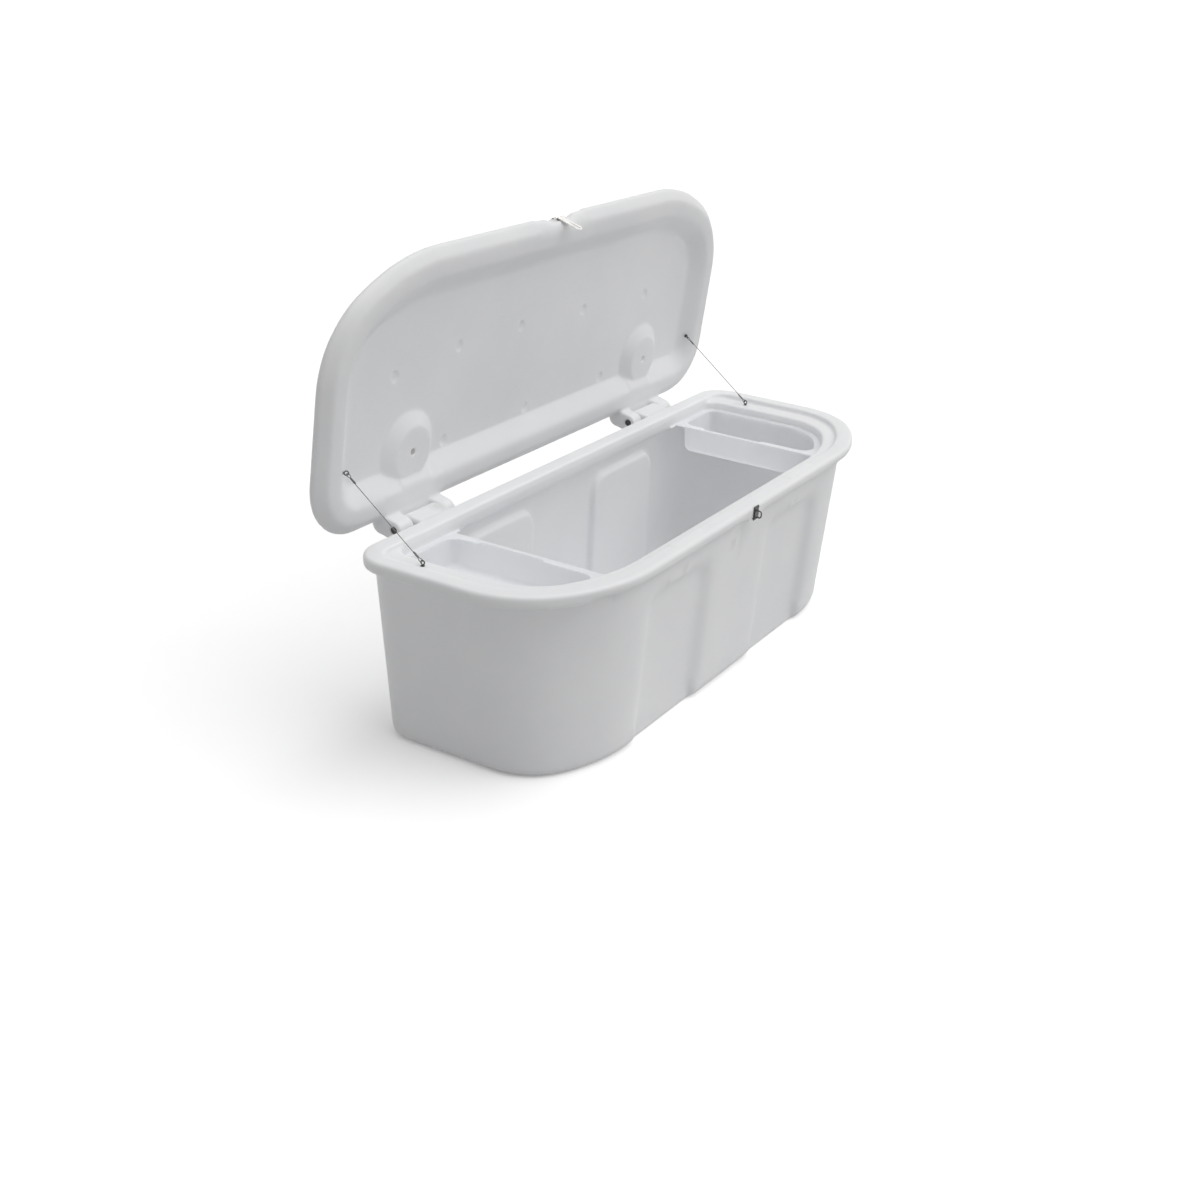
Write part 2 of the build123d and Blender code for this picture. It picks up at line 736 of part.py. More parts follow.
# ---- Staple: a plate on the tub's lip with an eye that turns in it ----
with BuildPart() as staple_plate:
    with BuildSketch(Plane.XZ.offset(tub_front)):
        with Locations((0, staple_plate_z)):
            RectangleRounded(staple_plate_width, staple_plate_height, hasp_base_corner)
            with GridLocations(2 * staple_screw_x, 2 * staple_screw_z, 2, 2):
                Circle(screw_shank_radius + screw_clearance, mode=Mode.SUBTRACT)
        with Locations((0, eye_z)):
            Circle(eye_shank_radius + eye_shank_clearance, mode=Mode.SUBTRACT)
    extrude(amount=staple_plate_thickness)
save(staple_plate.part, "staple_plate")
staple_screw_plane = Plane.XZ.offset(tub_front + staple_plate_thickness)
staple_screw_plane.origin = staple_screw_plane.origin + Vector(0, 0, staple_plate_z)
save(screw_group(staple_screw_plane, 2 * staple_screw_x, 2 * staple_screw_z), "staple_screws")

eye_back = tub_front + staple_plate_thickness + eye_boss_gap
eye_root = eye_back + eye_boss_thickness / 2
eye_tip = tub_front + eye_reach
with BuildPart() as staple_eye:
    with BuildSketch(Plane.XZ.offset(eye_back)):
        with Locations((0, eye_z)):
            Circle(eye_boss_radius)
    extrude(amount=eye_boss_thickness)
    with BuildSketch(Plane.XZ.offset(eye_back)):
        with Locations((0, eye_z)):
            Circle(eye_shank_radius)
    extrude(amount=-(eye_back - tub_front + eye_shank_length - eye_shank_clearance))
    with BuildLine() as eye_path:
        FilletPolyline(
            (0, -eye_root, eye_z + eye_pitch / 2),
            (0, -eye_tip, eye_z + eye_pitch / 2),
            (0, -eye_tip, eye_z - eye_pitch / 2),
            (0, -eye_root, eye_z - eye_pitch / 2),
            radius=eye_bend,
        )
    with BuildSketch(Plane(eye_path.line @ 0, z_dir=eye_path.line % 0)):
        Circle(eye_wire / 2)
    sweep()
save(staple_eye.part, "staple_eye")


def eye_screw(ring_centre, shank, pull, rise):
    """An eye screw: a ring that the stay pulls on, a small flange and a shank into the plastic."""
    with BuildPart(eye_screw_plane(ring_centre, shank, pull)) as eye:
        Torus(eye_ring_radius, eye_ring_wire)
    with BuildPart() as screw:
        add(eye.part)
        with BuildSketch(shank_plane(ring_centre, shank, eye_ring_radius)):
            Circle(eye_ring_wire)
        extrude(amount=rise - eye_ring_radius + eye_screw_depth)
        with BuildSketch(shank_plane(ring_centre, shank, rise - eye_flange)):
            Circle(eye_flange_radius)
        extrude(amount=eye_flange)
    return screw.part


# ---- Stays: a wire on each side, looped through an eye screw on the tub and another on the lid ----
loop_centre = stay_loop_seat + stay_loop_radius
loop_far = loop_centre + stay_loop_radius
stay_length = (stay_lid_ring - stay_tub_ring).length
for side, name in ((-1, "left"), (1, "right")):
    tub_ring = on_side(stay_tub_ring, side)
    lid_ring = on_side(stay_lid_ring, side)
    pull = on_side(stay_pull, side)
    ends = (
        ("tub", tub_ring, pull, Vector(0, 0, -1), stay_tub_rise),
        ("lid", lid_ring, -pull, lid_shank(side), stay_lid_rise),
    )
    for place, ring, away, shank, rise in ends:
        save(eye_screw(ring, shank, away, rise), f"stay_eye_{place}_{name}")
        with BuildPart() as ferrule:
            with BuildSketch(Plane(ring + away * (loop_far + ferrule_offset), z_dir=away)):
                Circle(ferrule_radius)
                Circle(stay_wire_radius + screw_clearance, mode=Mode.SUBTRACT)
            extrude(amount=ferrule_length)
        save(ferrule.part, f"stay_ferrule_{place}_{name}")
    with BuildPart() as stay_wire:
        with BuildSketch(Plane(tub_ring + pull * loop_far, z_dir=pull)):
            Circle(stay_wire_radius)
        extrude(amount=stay_length - 2 * loop_far)
        for place, ring, away, shank, rise in ends:
            ring_normal = shank.cross(away).normalized()
            with Locations(Plane(ring + away * loop_centre, x_dir=away, z_dir=ring_normal.cross(away))):
                Torus(stay_loop_radius, stay_wire_radius)
    save(stay_wire.part, f"stay_wire_{name}")
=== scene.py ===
"""Looks for a moulded dock box: a white tub, an open lid, two lift-out trays, a hasp and two wire stays.

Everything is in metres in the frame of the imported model: +X runs along the box, -Y is the front with
the hasp, +Y is the hinge side and +Z is up.
"""

import logging
import math
from dataclasses import dataclass, field
from enum import Enum

import bpy
import numpy as np
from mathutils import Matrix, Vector


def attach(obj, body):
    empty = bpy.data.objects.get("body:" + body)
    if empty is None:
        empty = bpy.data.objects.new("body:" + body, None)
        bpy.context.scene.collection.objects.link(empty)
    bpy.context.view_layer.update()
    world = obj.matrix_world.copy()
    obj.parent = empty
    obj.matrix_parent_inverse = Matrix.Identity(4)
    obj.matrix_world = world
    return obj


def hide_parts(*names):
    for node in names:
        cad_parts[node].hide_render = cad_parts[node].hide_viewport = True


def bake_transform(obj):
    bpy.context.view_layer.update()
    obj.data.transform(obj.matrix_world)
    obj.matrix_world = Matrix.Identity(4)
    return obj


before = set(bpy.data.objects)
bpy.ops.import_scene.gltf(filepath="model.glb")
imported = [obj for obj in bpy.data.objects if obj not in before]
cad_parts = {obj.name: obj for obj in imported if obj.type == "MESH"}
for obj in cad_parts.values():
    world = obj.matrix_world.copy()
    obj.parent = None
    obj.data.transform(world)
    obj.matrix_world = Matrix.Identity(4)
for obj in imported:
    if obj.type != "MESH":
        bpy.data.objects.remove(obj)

Colour = tuple[float, float, float]
Point = tuple[float, float, float]
Socket = bpy.types.NodeSocket

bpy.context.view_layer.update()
NODES: dict[str, bpy.types.Object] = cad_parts
log = logging.getLogger("dock_box")


class Side(Enum):
    """The two ends of the box, with the sign of their X."""

    LEFT = -1
    RIGHT = 1

    @property
    def label(self) -> str:
        """The word that ends the names of this side's pieces."""
        return self.name.lower()


class Place(Enum):
    """The two bodies that a stay joins."""

    TUB = "tub"
    LID = "lid"


# ---------------------------------------------------------------- shader groups


@dataclass(frozen=True)
class Pattern:
    """A noise pattern: its bumps per metre, how many finer layers it has and how strong they are."""

    scale: float
    detail: float
    rough: float


class Graph:
    """Places and links the nodes of one node tree."""

    bevel_samples = 4

    def __init__(self, tree: bpy.types.NodeTree) -> None:
        """Keeps the tree, emptied.

        Args:
            tree: The node tree that the nodes go into.
        """
        self.tree = tree
        tree.nodes.clear()

    def add(
        self, kind: str, inputs: dict[str | int, object] | None = None, **settings: object
    ) -> bpy.types.Node:
        """Adds a node, sets its own settings, and links or sets its inputs.

        Args:
            kind: The node's type name, such as "ShaderNodeMath".
            inputs: Values or output sockets by input name or number.
            **settings: Attributes of the node itself.

        Returns:
            The new node.
        """
        node = self.tree.nodes.new(kind)
        for key, value in settings.items():
            setattr(node, key, value)
        for key, value in (inputs or {}).items():
            if isinstance(value, Socket):
                self.tree.links.new(value, node.inputs[key])
            else:
                node.inputs[key].default_value = value
        return node

    def math(self, operation: str, *values: float | Socket, clamp: bool = False) -> Socket:
        """Adds a Math node and returns its result.

        Args:
            operation: The operation's name, such as "MULTIPLY".
            *values: Its inputs, as numbers or sockets.
            clamp: Whether the result is held between 0 and 1.

        Returns:
            The node's output.
        """
        node = self.add("ShaderNodeMath", dict(enumerate(values)), operation=operation, use_clamp=clamp)
        return node.outputs[0]

    def noise(self, where: Socket, pattern: Pattern) -> Socket:
        """Adds a Noise texture and returns its factor.

        Args:
            where: Where it reads the pattern.
            pattern: The pattern.

        Returns:
            The factor, around 0.5.
        """
        sizes = {"Scale": pattern.scale, "Detail": pattern.detail, "Roughness": pattern.rough}
        return self.add("ShaderNodeTexNoise", {"Vector": where, **sizes}).outputs[0]

    def facing(self, edge: float) -> Socket:
        """Adds the surface's normal, rounded over near an edge.

        Args:
            edge: The radius of the rounding, or 0 for none.

        Returns:
            The normal.
        """
        if edge:
            return self.add("ShaderNodeBevel", {"Radius": edge}, samples=self.bevel_samples).outputs[0]
        return self.add("ShaderNodeNewGeometry").outputs["Normal"]

    def spread(
        self, value: Socket, low: float, high: float, to_low: float = 0.0, to_high: float = 1.0
    ) -> Socket:
        """Adds a Map Range node that carries one range to another, held at its ends.

        Args:
            value: What is carried.
            low: The value that becomes to_low.
            high: The value that becomes to_high.
            to_low: The result at low.
            to_high: The result at high.

        Returns:
            The result.
        """
        ends = {"From Min": low, "From Max": high, "To Min": to_low, "To Max": to_high}
        return self.add("ShaderNodeMapRange", {"Value": value, **ends}).outputs["Result"]

    def mix(self, factor: Socket, first: Socket | Colour, second: Colour) -> Socket:
        """Mixes two colours and returns the result.

        Args:
            factor: 0 for the first colour and 1 for the second.
            first: A colour or a socket.
            second: A colour.

        Returns:
            The mixed colour.
        """
        if not isinstance(first, Socket):
            first = (*first, 1.0)
        ends = {0: factor, 6: first, 7: (*second, 1.0)}
        return self.add("ShaderNodeMix", ends, data_type="RGBA").outputs[2]

    def blend(self, factor: float | Socket, first: Socket, second: Socket) -> Socket:
        """Blends two shaders, 0 for the first and 1 for the second, and returns the result."""
        return self.add("ShaderNodeMixShader", {0: factor, 1: first, 2: second}).outputs[0]


class EffectGroup(Graph):
    """A shader node group with named sockets, whose patterns are fixed to the piece."""

    reach = 10000.0
    millimetre = 0.001

    def __init__(self, name: str, inputs: dict[str, float | Point], outputs: dict[str, str]) -> None:
        """Starts the group.

        Args:
            name: The group's name.
            inputs: Each input and its usual value, a number or a vector.
            outputs: Each output and its kind, "Float", "Color" or "Vector".
        """
        super().__init__(bpy.data.node_groups.new(name, "ShaderNodeTree"))
        sockets = self.tree.interface
        for label, value in inputs.items():
            kind = "Vector" if isinstance(value, tuple) else "Float"
            socket = sockets.new_socket(name=label, in_out="INPUT", socket_type=f"NodeSocket{kind}")
            socket.default_value = value
            socket.min_value, socket.max_value = -self.reach, self.reach
        for label, kind in outputs.items():
            sockets.new_socket(name=label, in_out="OUTPUT", socket_type=f"NodeSocket{kind}")
        entry = self.add("NodeGroupInput")
        self.given = {label: entry.outputs[label] for label in inputs}
        self.where = self.add("ShaderNodeTexCoord").outputs["Object"]

    def bump(self, height: Socket) -> Socket:
        """Raises the surface by a height in millimetres and returns the normal."""
        sizes = {"Strength": 1.0, "Distance": self.millimetre, "Normal": self.given["Facing"]}
        return self.add("ShaderNodeBump", {"Height": height, **sizes}).outputs[0]

    def put_out(self, **results: Socket) -> bpy.types.NodeTree:
        """Links the results to the outputs of the same names and returns the group."""
        self.add("NodeGroupOutput", results)
        return self.tree


@dataclass(frozen=True)
class MouldedSkin:
    """A rotationally moulded skin: slow waves, orange peel, fine grain, clouds and scuffs."""

    wave: Pattern = Pattern(7.5, 1.5, 0.45)
    ripple: Pattern = Pattern(34.0, 2.0, 0.5)
    ripple_share: float = 0.09
    peel: Pattern = Pattern(210.0, 2.0, 0.55)
    grain: Pattern = Pattern(1400.0, 2.0, 0.6)
    cloud: Pattern = Pattern(3.1, 4.0, 0.62)
    gloss_ends: tuple[float, float, float, float] = (0.3, 0.7, -0.5, 0.5)
    streak: Pattern = Pattern(55.0, 6.0, 0.72)
    streak_ends: tuple[float, float] = (0.56, 0.74)
    streak_squeeze: Point = (1.0, 1.0, 4.5)
    streak_turn: Point = (0.3, 0.5, 0.2)
    patch: Pattern = Pattern(4.2, 2.0, 0.6)
    patch_ends: tuple[float, float] = (0.45, 0.68)

    def build(self) -> bpy.types.NodeTree:
        """Builds the group.

        Returns:
            The group, which puts out a Normal and the masks Gloss, Cloud and Scuff.
        """
        g = EffectGroup(
            "MouldedSkin",
            {"Wave": 0.4, "Peel": 0.04, "Grain": 0.01, "Scuffs": 0.5, "Facing": (0.0, 0.0, 1.0)},
            {"Normal": "Vector", "Gloss": "Float", "Cloud": "Float", "Scuff": "Float"},
        )
        ripple = g.math("MULTIPLY", g.noise(g.where, self.ripple), self.ripple_share)
        waves = g.math("MULTIPLY", g.math("ADD", g.noise(g.where, self.wave), ripple), g.given["Wave"])
        peel = g.noise(g.where, self.peel)
        peels = g.math("MULTIPLY", peel, g.given["Peel"])
        grains = g.math("MULTIPLY", g.noise(g.where, self.grain), g.given["Grain"])
        normal = g.bump(g.math("ADD", waves, g.math("ADD", peels, grains)))
        drawn_out = {"Vector": g.where, "Scale": self.streak_squeeze, "Rotation": self.streak_turn}
        streaks = g.noise(g.add("ShaderNodeMapping", drawn_out).outputs[0], self.streak)
        patches = g.spread(g.noise(g.where, self.patch), *self.patch_ends)
        scratches = g.math("MULTIPLY", g.spread(streaks, *self.streak_ends), patches)
        scuff = g.math("MULTIPLY", scratches, g.given["Scuffs"])
        cloud = g.noise(g.where, self.cloud)
        gloss = g.math("ADD", g.spread(peel, *self.gloss_ends), g.spread(cloud, *self.gloss_ends))
        return g.put_out(Normal=normal, Gloss=gloss, Cloud=cloud, Scuff=scuff)


@dataclass(frozen=True)
class MetalSkin:
    """The skin of a metal: fine drawn lines, small dents, stains and dull patches."""

    line: Pattern = Pattern(260.0, 3.0, 0.6)
    dent: Pattern = Pattern(420.0, 1.0, 0.4)
    stain: Pattern = Pattern(95.0, 5.0, 0.65)
    stain_ends: tuple[float, float] = (0.5, 0.72)
    dull: Pattern = Pattern(160.0, 4.0, 0.6)
    dull_ends: tuple[float, float] = (0.7, 1.3)

    def build(self) -> bpy.types.NodeTree:
        """Builds the group.

        Returns:
            The group, which puts out a Normal and the masks Dull and Stain.
        """
        g = EffectGroup(
            "BrightMetal",
            {"Lines": 0.02, "Dents": 0.05, "Stretch": 14.0, "Facing": (0.0, 0.0, 1.0)},
            {"Normal": "Vector", "Dull": "Float", "Stain": "Float"},
        )
        along = g.add("ShaderNodeCombineXYZ", {0: g.given["Stretch"], 1: 1.0, 2: 1.0}).outputs[0]
        squeezed = g.add("ShaderNodeVectorMath", {0: g.where, 1: along}, operation="MULTIPLY").outputs[0]
        lines = g.noise(squeezed, self.line)
        drawn = g.math("MULTIPLY", lines, g.given["Lines"])
        dented = g.math("MULTIPLY", g.noise(g.where, self.dent), g.given["Dents"])
        stain = g.spread(g.noise(g.where, self.stain), *self.stain_ends)
        dull = g.spread(g.math("ADD", lines, g.noise(g.where, self.dull)), *self.dull_ends)
        return g.put_out(Normal=g.bump(g.math("ADD", drawn, dented)), Dull=dull, Stain=stain)


@dataclass(frozen=True)
class RaggedStainAndShade:
    """A mark with a ragged edge round a point, for stains and for painted shade."""

    ragged: Pattern = Pattern(130.0, 4.0, 0.65)
    ragged_swing: float = 1.2
    ragged_least: float = 0.4
    fade_ends: tuple[float, float, float, float] = (0.25, 1.0, 1.0, 0.0)

    def build(self) -> bpy.types.NodeTree:
        """Builds the group.

        Returns:
            The group, which puts out a Mask.
        """
        g = EffectGroup(
            "Stain",
            {"Centre": (0.0, 0.0, 0.0), "Radius": 0.01, "Strength": 1.0},
            {"Mask": "Float"},
        )
        ends = {0: g.where, 1: g.given["Centre"]}
        away = g.add("ShaderNodeVectorMath", ends, operation="DISTANCE").outputs["Value"]
        edge = g.math("MULTIPLY_ADD", g.noise(g.where, self.ragged), self.ragged_swing, self.ragged_least)
        share = g.math("DIVIDE", g.math("MULTIPLY", away, edge), g.given["Radius"])
        faded = g.spread(share, *self.fade_ends)
        return g.put_out(Mask=g.math("MULTIPLY", faded, g.given["Strength"], clamp=True))


class Effects:
    """The shader groups that the finishes share, each built once."""

    def __init__(self) -> None:
        """Builds the groups."""
        self.moulded = MouldedSkin().build()
        self.metal = MetalSkin().build()
        self.stain = RaggedStainAndShade().build()


# ---------------------------------------------------------------- finishes


def new_material(name: str) -> tuple[bpy.types.Material, Graph]:
    """Makes an empty material.

    Args:
        name: Its name.

    Returns:
        The material and its graph.
    """
    material = bpy.data.materials.new(name)
    material.use_nodes = True
    return material, Graph(material.node_tree)


@dataclass(frozen=True)
class Mark:
    """A mark of one colour round a point, for a stain and for painted shade."""

    centre: Point
    radius: float
    colour: Colour
    strength: float


@dataclass(frozen=True)
class MouldedPlastic:
    """A rotationally moulded or pressed plastic.

    Wave, peel and grain are heights in millimetres. Glow is the share of the lamps' light that comes
    through, backlight the share that is scattered on the way, and bounce the colour of the light that
    the plastic throws on what is near it.
    """

    name: str
    colour: Colour
    deep: Colour
    roughness: float
    roughness_swing: float
    wave: float
    peel: float
    grain: float
    scuffs: float
    subsurface: float
    subsurface_reach: float
    edge: float = 0.0
    glow: float = 0.0
    backlight: float = 0.0
    bounce: Colour | None = None
    wear: float = 0.0
    worn: Colour = (0.60, 0.59, 0.57)
    marks: tuple[Mark, ...] = ()
    cloud_ends: tuple[float, float] = (0.35, 0.65)
    scuff_roughness: float = 0.18
    ior: float = 1.5

    def tone(self, g: Graph, skin: bpy.types.Node, bounced: Socket, stain: bpy.types.NodeTree) -> Socket:
        """Mixes the colour: its clouds, the worn places, the stains and painted shade of the marks, and the
        tone of the bounced light.

        Args:
            g: The material's graph.
            skin: The moulded skin's node.
            bounced: 1 for a ray of bounced light.
            stain: The group that draws the marks, for stains and for painted shade.

        Returns:
            The colour.
        """
        tone = g.mix(g.spread(skin.outputs["Cloud"], *self.cloud_ends), self.colour, self.deep)
        tone = g.mix(g.math("MULTIPLY", skin.outputs["Scuff"], self.wear), tone, self.worn)
        for mark in self.marks:
            sizes = {"Centre": mark.centre, "Radius": mark.radius, "Strength": mark.strength}
            mask = g.add("ShaderNodeGroup", sizes, node_tree=stain).outputs["Mask"]
            tone = g.mix(mask, tone, mark.colour)
        return g.mix(bounced, tone, self.bounce) if self.bounce else tone

    def make(self, effects: Effects) -> bpy.types.Material:
        """Builds the material.

        Args:
            effects: The shared groups.

        Returns:
            The material.
        """
        material, g = new_material(self.name)
        heights = {"Wave": self.wave, "Peel": self.peel, "Grain": self.grain, "Scuffs": self.scuffs}
        skin = g.add("ShaderNodeGroup", {**heights, "Facing": g.facing(self.edge)}, node_tree=effects.moulded)
        path = g.add("ShaderNodeLightPath").outputs
        tone = self.tone(g, skin, path["Is Diffuse Ray"], effects.stain)
        roughness = g.math("MULTIPLY_ADD", skin.outputs["Gloss"], self.roughness_swing, self.roughness)
        scuffed = g.math("MULTIPLY", skin.outputs["Scuff"], self.scuff_roughness)
        shader = g.add(
            "ShaderNodeBsdfPrincipled",
            {
                "Base Color": tone,
                "Roughness": g.math("ADD", roughness, scuffed, clamp=True),
                "Normal": skin.outputs["Normal"],
                "IOR": self.ior,
                "Subsurface Weight": self.subsurface,
                "Subsurface Scale": self.subsurface_reach,
                "Subsurface Radius": (1.0, 1.0, 1.0),
            },
        ).outputs[0]
        if self.glow:
            back = g.add("ShaderNodeBsdfTranslucent", {"Color": tone}).outputs[0]
            clear = g.add("ShaderNodeBsdfTransparent").outputs[0]
            through = g.math("MULTIPLY", path["Is Shadow Ray"], self.glow)
            shader = g.blend(through, g.blend(self.backlight, shader, back), clear)
        g.add("ShaderNodeOutputMaterial", {"Surface": shader})
        return material


@dataclass(frozen=True)
class BrightMetal:
    """A metal, drawn, polished or crimped. Lines and dents are heights in millimetres."""

    name: str
    colour: Colour
    stained: Colour
    roughness: float
    lines: float
    dents: float
    roughness_swing: float = 0.2
    stretch: float = 14.0
    edge: float = 0.0

    def make(self, effects: Effects) -> bpy.types.Material:
        """Builds the material.

        Args:
            effects: The shared groups.

        Returns:
            The material.
        """
        material, g = new_material(self.name)
        heights = {"Lines": self.lines, "Dents": self.dents, "Stretch": self.stretch}
        skin = g.add("ShaderNodeGroup", {**heights, "Facing": g.facing(self.edge)}, node_tree=effects.metal)
        looks = {
            "Base Color": g.mix(skin.outputs["Stain"], self.colour, self.stained),
            "Roughness": g.math("MULTIPLY_ADD", skin.outputs["Dull"], self.roughness_swing, self.roughness),
            "Normal": skin.outputs["Normal"],
            "Metallic": 1.0,
        }
        g.add("ShaderNodeOutputMaterial", {"Surface": g.add("ShaderNodeBsdfPrincipled", looks).outputs[0]})
        return material


WHITE_BOUNCE: Colour = (0.96, 0.965, 0.98)
GRIME: Colour = (0.55, 0.54, 0.52)
# A grey for painted shade on the rear rim beside the left hinge.
HINGE_PAINTED_SHADE: Colour = (0.50, 0.49, 0.47)
RUST: Colour = (0.16, 0.085, 0.05)
# A grey that darkens the hole in the lid's right boss.
BOSS_HOLE_GREY: Colour = (0.3, 0.29, 0.28)
# Dark greys, used for the stays' eyes and, as painted shade and dark reflection, for the staple and the
# hasp's fixings.
DARK: Colour = (0.10, 0.10, 0.10)
DARKER: Colour = (0.04, 0.04, 0.04)


class Finish(Enum):
    """Every finish of the box."""

    SHELL = MouldedPlastic(
        name="WhitePolyethylene",
        colour=(0.855, 0.858, 0.862),
        deep=(0.825, 0.83, 0.84),
        roughness=0.46,
        roughness_swing=0.07,
        wave=0.55,
        peel=0.035,
        grain=0.012,
        scuffs=0.6,
        subsurface=0.75,
        subsurface_reach=0.016,
        glow=0.6,
        backlight=0.04,
        bounce=WHITE_BOUNCE,
        wear=0.5,
        marks=(
            # The tub's front wall, at its four dimples.
            Mark((-0.305, -0.303, 0.418), 0.024, GRIME, 0.4),
            Mark((-0.358, -0.303, 0.381), 0.018, GRIME, 0.3),
            Mark((-0.050, -0.303, 0.400), 0.028, GRIME, 0.35),
            Mark((0.315, -0.303, 0.408), 0.022, GRIME, 0.3),
            # Painted shade on the rear rim and the left hinge barrel, where they meet the open lid's lobes.
            Mark((-0.495, 0.300, 0.500), 0.035, HINGE_PAINTED_SHADE, 0.35),
            # The holes in the lid's two bosses: rust in the left one, and a grey that darkens the right one.
            Mark((-0.546, 0.344, 0.640), 0.011, RUST, 0.9),
            Mark((0.546, 0.344, 0.640), 0.007, BOSS_HOLE_GREY, 0.6),
        ),
    )
    TRAY = MouldedPlastic(
        name="TrayPolyethylene",
        colour=(0.85, 0.86, 0.88),
        deep=(0.83, 0.84, 0.865),
        roughness=0.36,
        roughness_swing=0.06,
        wave=0.35,
        peel=0.02,
        grain=0.008,
        scuffs=0.4,
        subsurface=0.85,
        subsurface_reach=0.016,
        edge=0.0014,
        glow=0.7,
        backlight=0.2,
        bounce=WHITE_BOUNCE,
    )
    # Painted shade: black caps stand in for the shade in the hinge pins' holes.
    CAP = MouldedPlastic(
        name="PinCapPaintedShade",
        colour=(0.018, 0.018, 0.019),
        deep=(0.03, 0.03, 0.03),
        roughness=0.42,
        roughness_swing=0.08,
        wave=0.1,
        peel=0.03,
        grain=0.02,
        scuffs=0.6,
        subsurface=0.0,
        subsurface_reach=0.001,
    )
    STEEL = BrightMetal(
        name="StainlessSteel",
        colour=(0.86, 0.85, 0.83),
        stained=(0.55, 0.54, 0.52),
        roughness=0.22,
        lines=0.012,
        dents=0.02,
        edge=0.0003,
    )
    # Painted shade and dark reflection: the steel staple, the hasp's pin and its screws are drawn dark grey.
    STAPLE = BrightMetal(
        name="PaintedShadeDarkSteel",
        colour=DARK,
        stained=DARKER,
        roughness=0.3,
        lines=0.012,
        dents=0.02,
        edge=0.0003,
    )
    EYE = BrightMetal(
        name="DarkEye",
        colour=DARK,
        stained=DARKER,
        roughness=0.34,
        lines=0.0,
        dents=0.03,
        edge=0.0003,
    )
    WIRE = BrightMetal(
        name="WireRope",
        colour=(0.20, 0.195, 0.19),
        stained=(0.09, 0.088, 0.085),
        roughness=0.36,
        lines=0.0,
        dents=0.01,
    )
    FERRULE = BrightMetal(
        name="Ferrule",
        colour=(0.12, 0.118, 0.115),
        stained=(0.05, 0.05, 0.05),
        roughness=0.4,
        lines=0.01,
        dents=0.05,
    )


class Finishes:
    """The materials of every piece, each built once."""

    def __init__(self) -> None:
        """Builds the groups and the materials."""
        effects = Effects()
        self.made = {finish: finish.value.make(effects) for finish in Finish}

    def dress(self, piece: bpy.types.Object, finish: Finish) -> bpy.types.Object:
        """Gives a piece one finish in every slot.

        Args:
            piece: The piece.
            finish: Its finish.

        Returns:
            The piece.
        """
        slots = piece.data.materials
        if not slots:
            slots.append(self.made[finish])
        for number in range(len(slots)):
            slots[number] = self.made[finish]
        return piece


# ---------------------------------------------------------------- moulded shells


@dataclass(frozen=True)
class SoftZone:
    """A box, the same on both sides of X = 0, in which edges are rounded more or less than elsewhere."""

    low: Point
    high: Point
    softness: float
    fade: float = 0.006

    def blend_in(self, points: np.ndarray, softness: np.ndarray) -> np.ndarray:
        """Mixes this zone's softness into that of the points inside it.

        Args:
            points: The points, one per row, in the shell's own placing.
            softness: Their softness so far.

        Returns:
            Their new softness.
        """
        folded = points.copy()
        folded[:, 0] = np.abs(folded[:, 0])
        outside = np.maximum(np.maximum(np.array(self.low) - folded, folded - np.array(self.high)), 0.0)
        share = np.clip(1.0 - np.linalg.norm(outside, axis=1) / self.fade, 0.0, 1.0)
        return softness * (1.0 - share) + self.softness * share


@dataclass(frozen=True)
class Hinge:
    """The lid's hinge line and how far the lid stands open in the model."""

    y: float = 0.316
    z: float = 0.474
    opened: float = math.radians(83.6)

    def shut(self, points: np.ndarray) -> np.ndarray:
        """Turns points of the open lid to where they are with the lid shut.

        Args:
            points: The points, one per row.

        Returns:
            The turned points.
        """
        out, up = points[:, 1] - self.y, points[:, 2] - self.z
        cosine, sine = math.cos(self.opened), math.sin(self.opened)
        turned = points.copy()
        turned[:, 1] = self.y + cosine * out - sine * up
        turned[:, 2] = self.z + sine * out + cosine * up
        return turned


class Net:
    """The points of a mesh, each with the points that it is joined to."""

    half_way = 0.5

    def __init__(self, mesh: bpy.types.Mesh) -> None:
        """Reads the mesh.

        Args:
            mesh: A mesh that has every point on an edge.
        """
        self.mesh = mesh
        points = np.empty(len(mesh.vertices) * 3)
        mesh.vertices.foreach_get("co", points)
        self.points = points.reshape(-1, 3)
        ends = np.empty(len(mesh.edges) * 2, dtype=np.int32)
        mesh.edges.foreach_get("vertices", ends)
        ends = ends.reshape(-1, 2)
        first = np.concatenate([ends[:, 0], ends[:, 1]])
        second = np.concatenate([ends[:, 1], ends[:, 0]])
        self.joined = second[np.argsort(first, kind="stable")]
        self.count = np.bincount(first, minlength=len(self.points))
        self.starts = np.concatenate([[0], np.cumsum(self.count)[:-1]])

    def drift(self, softness: np.ndarray, passes: int) -> None:
        """Moves every point towards the middle of its neighbours, by its own softness.

        Args:
            softness: 0 for a point that stays and 1 for one that goes half-way in each pass.
            passes: How often the points move.
        """
        step = (self.half_way * softness / np.maximum(self.count, 1))[:, None]
        for _ in range(passes):
            total = np.add.reduceat(self.points[self.joined], self.starts, axis=0)
            self.points = self.points + step * (total - self.count[:, None] * self.points)

    def settle(self, chosen: np.ndarray, passes: int) -> None:
        """Moves only some points, each half-way to the middle of its neighbours.

        Args:
            chosen: The numbers of the points that move.
            passes: How often they move.
        """
        spans = [np.arange(self.starts[i], self.starts[i] + self.count[i]) for i in chosen]
        near = self.joined[np.concatenate(spans)]
        many = self.count[chosen]
        begins = np.concatenate([[0], np.cumsum(many)[:-1]])
        for _ in range(passes):
            middle = np.add.reduceat(self.points[near], begins, axis=0) / many[:, None]
            self.points[chosen] += self.half_way * (middle - self.points[chosen])

    def write(self) -> None:
        """Puts the points back into the mesh."""
        self.mesh.vertices.foreach_set("co", self.points.ravel())
        self.mesh.update()


